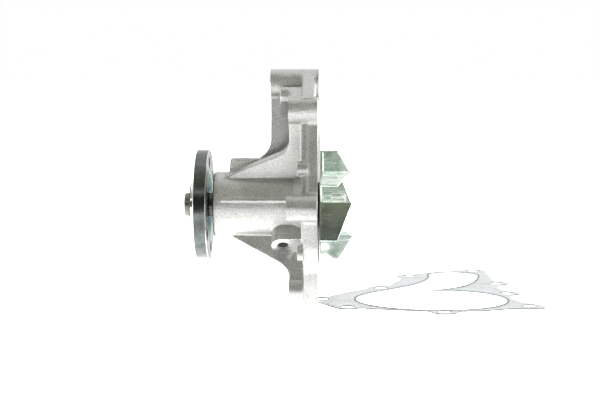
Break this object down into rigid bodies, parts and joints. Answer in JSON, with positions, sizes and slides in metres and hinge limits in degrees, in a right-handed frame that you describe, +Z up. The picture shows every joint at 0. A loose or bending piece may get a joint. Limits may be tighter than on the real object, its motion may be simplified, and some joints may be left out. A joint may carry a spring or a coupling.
{
  "type": "engine coolant pump",
  "caption": "Engine coolant pump: cast housing with a bolted flange and volute, sealed shaft bearing, pulley hub, pressed impeller and loose flange gasket.",
  "frame": {"origin": "the shaft axis where it crosses the plane of the machined mounting face", "axes": "+X along the shaft towards the impeller and engine, +Z up, +Y towards the coolant outlet"},
  "size_m": [0.2389, 0.208, 0.1549],
  "materials": {
    "cast_aluminium": "as-cast, bead-blasted, fine pitted grain",
    "bearing_steel": "ground",
    "hub_steel": "turned, zinc-plated back face",
    "zinc_plate": "bright zinc plating with a faint green tint",
    "stainless": "pressed sheet",
    "cage_polymer": "moulded glass-filled nylon",
    "seal_rubber": "moulded",
    "carbon": "lapped carbon",
    "ceramic_face": "lapped silicon carbide",
    "black_oxide": "black oxide",
    "gasket_steel": "thin embossed sheet",
    "bead_rubber": "moulded grey bead"
  },
  "bodies": {
    "casing": {"housing": "cast_aluminium", "bearing_outer_ring": "bearing_steel", "bearing_front_seal": "seal_rubber", "bearing_rear_seal": "seal_rubber", "bearing_lock_screw": "black_oxide", "seal_cup": "stainless", "seal_bellows": "seal_rubber", "seal_spring": "stainless", "seal_ring_shell": "stainless", "seal_ring": "carbon"},
    "rotor": {"shaft": "bearing_steel", "pulley_hub": "hub_steel", "impeller": "zinc_plate", "slinger": "stainless", "seal_sleeve": "stainless", "mating_ring": "ceramic_face", "mating_ring_boot": "seal_rubber"},
    "ball_train": {"bearing_balls": "bearing_steel", "ball_cage": "cage_polymer"},
    "roller_train": {"bearing_rollers": "bearing_steel", "roller_cage": "cage_polymer"},
    "gasket": {"gasket_plate": "gasket_steel", "gasket_bead": "bead_rubber"}
  },
  "joints": [
    {"name": "shaft_spin", "type": "hinge", "parent": "casing", "child": "rotor", "pos_m": [0, 0, 0], "axis": [1, 0, 0], "continuous": true},
    {"name": "ball_orbit", "type": "hinge", "parent": "casing", "child": "ball_train", "pos_m": [-0.058, 0, 0], "axis": [1, 0, 0], "continuous": true},
    {"name": "roller_orbit", "type": "hinge", "parent": "casing", "child": "roller_train", "pos_m": [-0.04, 0, 0], "axis": [1, 0, 0], "continuous": true},
    {"name": "gasket_slide", "type": "slide", "parent": "casing", "child": "gasket", "axis": [1, 0, 0], "range_m": [0, 0.08]}
  ],
  "couplings": [
    {"joint": "ball_orbit", "follows": "shaft_spin", "ratio": 0.3562},
    {"joint": "roller_orbit", "follows": "shaft_spin", "ratio": 0.383}
  ]
}
